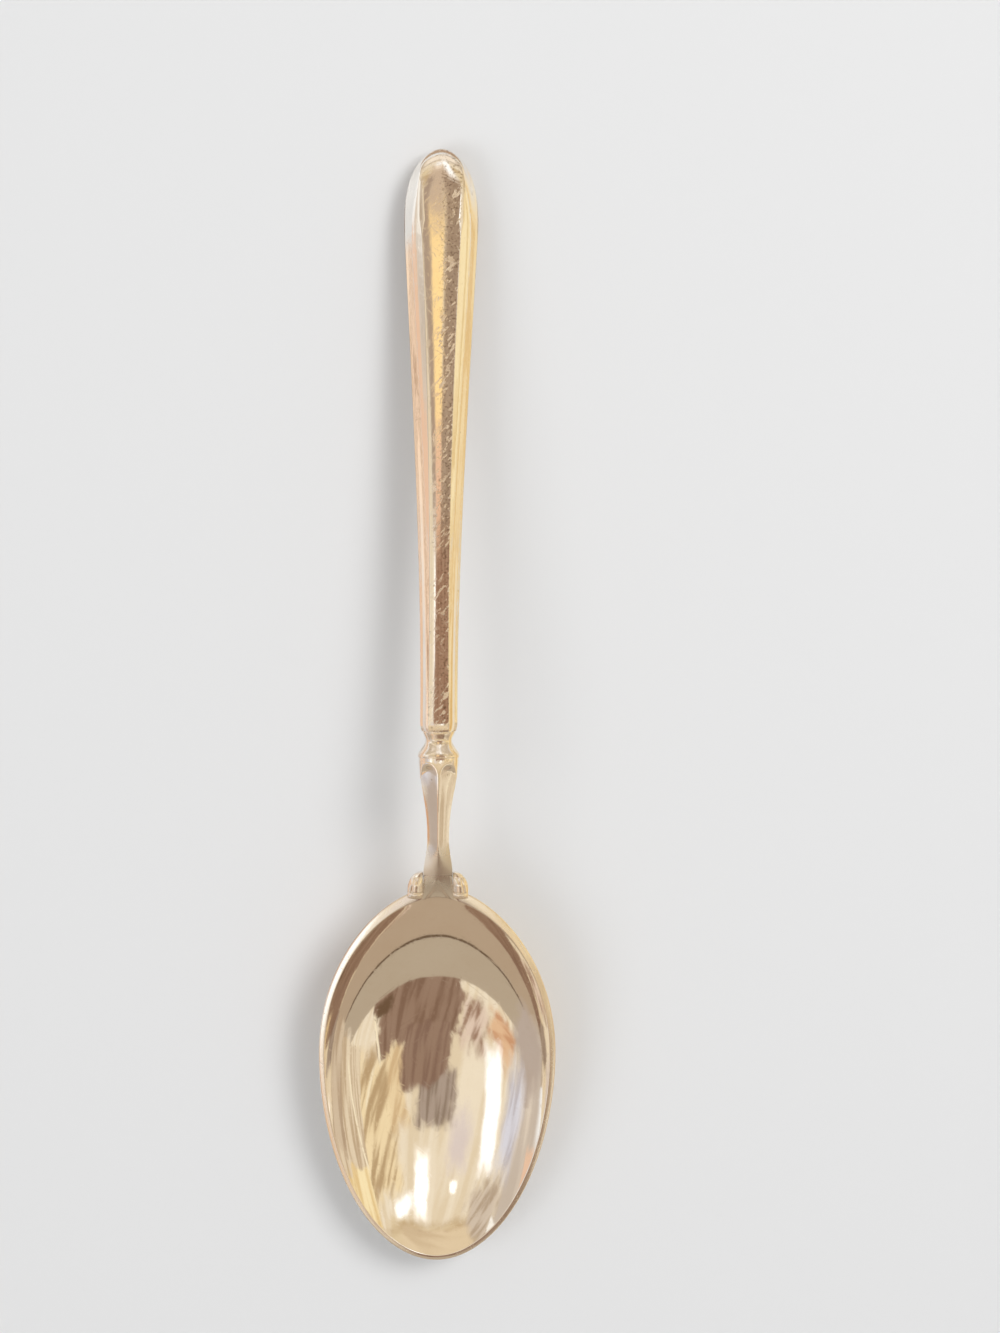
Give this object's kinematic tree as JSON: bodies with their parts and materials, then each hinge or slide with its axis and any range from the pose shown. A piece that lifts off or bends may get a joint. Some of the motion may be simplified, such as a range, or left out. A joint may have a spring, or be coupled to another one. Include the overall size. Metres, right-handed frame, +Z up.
{
  "type": "teaspoon",
  "caption": "Teaspoon with an egg-shaped bowl, a faceted stem with scrolls at its heel, a waisted collar and a bevelled hollow handle.",
  "frame": {"origin": "middle of the spoon's length and width, on the table that it lies on", "axes": "+Y along the spoon from the bowl's tip to the handle's end, +Z up out of the bowl's hollow"},
  "size_m": [0.0298, 0.1407, 0.0144],
  "materials": {
    "bowl_silver": "worn polished silver with fine scratches",
    "stem_silver": "worn polished cast silver",
    "handle_silver": "worn polished sheet silver with dents and scratches",
    "solder": "satin",
    "tang_steel": "rough forged",
    "filling": "matt resin"
  },
  "bodies": {
    "root": {"bowl": "bowl_silver", "stem": "stem_silver", "left_scroll": "stem_silver", "right_scroll": "stem_silver", "heel_solder": "solder", "collar": "stem_silver", "tang": "tang_steel", "handle_front": "handle_silver", "handle_back": "handle_silver", "seam_solder": "solder", "handle_filling": "filling"}
  },
  "joints": []
}
